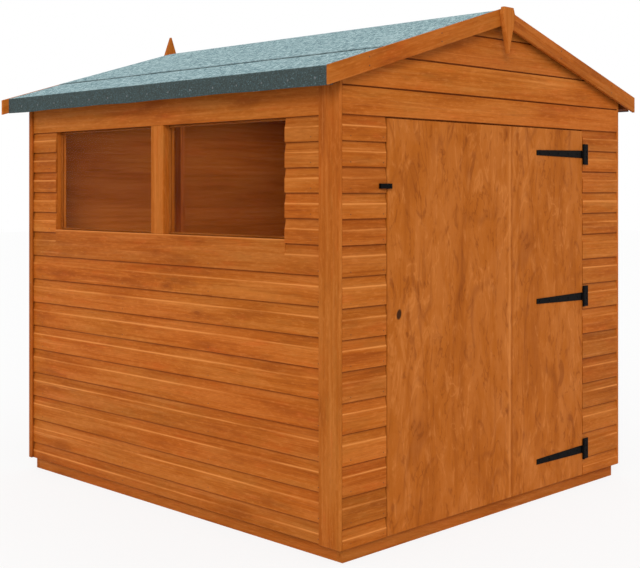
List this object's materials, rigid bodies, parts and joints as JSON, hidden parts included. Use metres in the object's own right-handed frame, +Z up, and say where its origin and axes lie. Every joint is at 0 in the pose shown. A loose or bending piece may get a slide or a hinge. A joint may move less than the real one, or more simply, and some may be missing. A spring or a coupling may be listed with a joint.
{
  "type": "garden shed",
  "caption": "Apex timber garden shed with a wide hinged gable door, side windows, boarded walls and a felted pitched roof.",
  "frame": {"origin": "on the ground, under the middle of the four walls, on the underside of the middle floor bearer", "axes": "+X to the right seen from the door, +Y from the door gable to the back gable, +Z up"},
  "size_m": [2, 2.31, 2.1638],
  "materials": {
    "wall_boards": "stained softwood, planed",
    "trim_timber": "stained softwood",
    "door_timber": "stained softwood ply",
    "frame_timber": "stained rough softwood",
    "bearer_timber": "stained rough softwood",
    "floor_boards": "rough softwood",
    "roof_boards": "rough softwood",
    "roof_felt": "mineral-faced bitumen felt",
    "clear_glazing": "clear glazing",
    "black_iron": "black japanned steel"
  },
  "bodies": {
    "shed": {"floor_bearers": "bearer_timber", "floor_end_boards": "bearer_timber", "floor_deck": "floor_boards", "left_wall_lower": "wall_boards", "left_wall_piers": "wall_boards", "left_wall_frieze": "wall_boards", "window_mullion": "wall_boards", "window_panes": "clear_glazing", "left_wall_studs": "frame_timber", "left_wall_rails": "frame_timber", "right_wall": "wall_boards", "right_wall_studs": "frame_timber", "right_wall_rails": "frame_timber", "back_wall": "wall_boards", "back_wall_studs": "frame_timber", "back_wall_rails": "frame_timber", "front_wall_latch_side": "wall_boards", "front_wall_hinge_side": "wall_boards", "front_gable": "wall_boards", "front_wall_studs": "frame_timber", "front_wall_rails": "frame_timber", "door_stops": "frame_timber", "gable_rafters": "frame_timber", "corner_trims_front": "trim_timber", "corner_trims_back": "trim_timber", "roof_deck_left": "roof_boards", "roof_deck_right": "roof_boards", "roof_battens": "frame_timber", "roof_felt_left": "roof_felt", "roof_felt_right": "roof_felt", "roof_felt_ridge": "roof_felt", "bargeboard_front_left": "trim_timber", "bargeboard_front_right": "trim_timber", "bargeboard_back_left": "trim_timber", "bargeboard_back_right": "trim_timber", "finial_front": "trim_timber", "finial_back": "trim_timber", "hinge_plates": "black_iron", "latch_keeper": "black_iron"},
    "door": {"door_sheet_wide": "door_timber", "door_sheet_narrow": "door_timber", "door_ledges": "frame_timber", "door_braces": "frame_timber", "door_latch": "black_iron", "hinge_straps": "black_iron"}
  },
  "joints": [
    {"name": "door_hinge", "type": "hinge", "parent": "shed", "child": "door", "pos_m": [0.615, -1.0712, 0.857], "axis": [0, 0, 1], "range_deg": [0, 170]}
  ]
}
